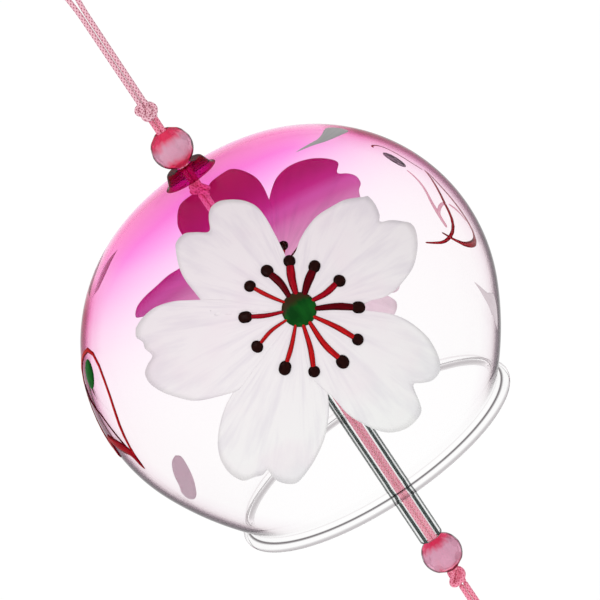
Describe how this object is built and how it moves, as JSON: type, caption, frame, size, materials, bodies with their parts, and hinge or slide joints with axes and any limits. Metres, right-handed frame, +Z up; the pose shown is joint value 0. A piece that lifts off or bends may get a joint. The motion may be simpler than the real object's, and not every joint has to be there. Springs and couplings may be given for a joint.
{
  "type": "wind bell",
  "caption": "Round glass wind bell with painted blossoms, hung on a doubled cord with beads, a glass tube clapper and a plain paper strip.",
  "frame": {"origin": "the point where a hook bears inside the top of the hanging loop", "axes": "+Z up along the bell's axis, -Y towards the front blossom, +X to the right seen from the front"},
  "size_m": [0.08, 0.08, 0.2583],
  "materials": {
    "cord": "braided pink cord",
    "knot": "braided pink cord",
    "bead": "faceted, mauve pink",
    "bell_glass": "clear glass, pink from the crown down, with painted blossoms",
    "tube_glass": "clear, fire polished ends",
    "paper": "plain stiff paper"
  },
  "bodies": {
    "hanger": {"hanging_cord": "cord", "upper_knot": "knot"},
    "neck": {"neck_cord_left": "cord", "neck_cord_right": "cord", "inner_knot": "knot"},
    "upper_bead": {"upper_bead": "bead"},
    "bell": {"glass_bell": "bell_glass"},
    "clapper": {"clapper_cord_left": "cord", "clapper_cord_right": "cord"},
    "lower_bead": {"lower_bead": "bead"},
    "tube": {"clapper_tube": "tube_glass"},
    "lower_knot": {"lower_knot": "knot"},
    "strip_cord": {"strip_cord": "cord"},
    "strip": {"paper_strip": "paper"}
  },
  "joints": [
    {"name": "bell_swing", "type": "hinge", "parent": "hanger", "child": "neck", "pos_m": [0, 0, -0.03995], "axis": [0, 1, 0], "range_deg": [-45, 45]},
    {"name": "upper_bead_turn", "type": "hinge", "parent": "neck", "child": "upper_bead", "pos_m": [0, 0, -0.04555], "axis": [0, 0, 1], "continuous": true},
    {"name": "bell_turn", "type": "hinge", "parent": "neck", "child": "bell", "pos_m": [0, 0, -0.086], "axis": [0, 0, 1], "continuous": true},
    {"name": "clapper_swing", "type": "hinge", "parent": "neck", "child": "clapper", "pos_m": [0, 0, -0.05774], "axis": [0, 1, 0], "range_deg": [-22, 22]},
    {"name": "lower_bead_turn", "type": "hinge", "parent": "clapper", "child": "lower_bead", "pos_m": [0, 0, -0.14056], "axis": [0, 0, 1], "continuous": true},
    {"name": "tube_slide", "type": "slide", "parent": "lower_bead", "child": "tube", "axis": [0, 0, 1], "range_m": [0, 0.0186]},
    {"name": "strip_turn", "type": "hinge", "parent": "clapper", "child": "lower_knot", "pos_m": [0, 0, -0.14625], "axis": [0, 0, 1], "continuous": true},
    {"name": "strip_swing", "type": "hinge", "parent": "lower_knot", "child": "strip_cord", "pos_m": [0, 0, -0.149], "axis": [1, 0, 0], "range_deg": [-60, 60]},
    {"name": "strip_sway", "type": "hinge", "parent": "strip_cord", "child": "strip", "pos_m": [0, 0, -0.17], "axis": [0, 1, 0], "range_deg": [-35, 35]}
  ]
}
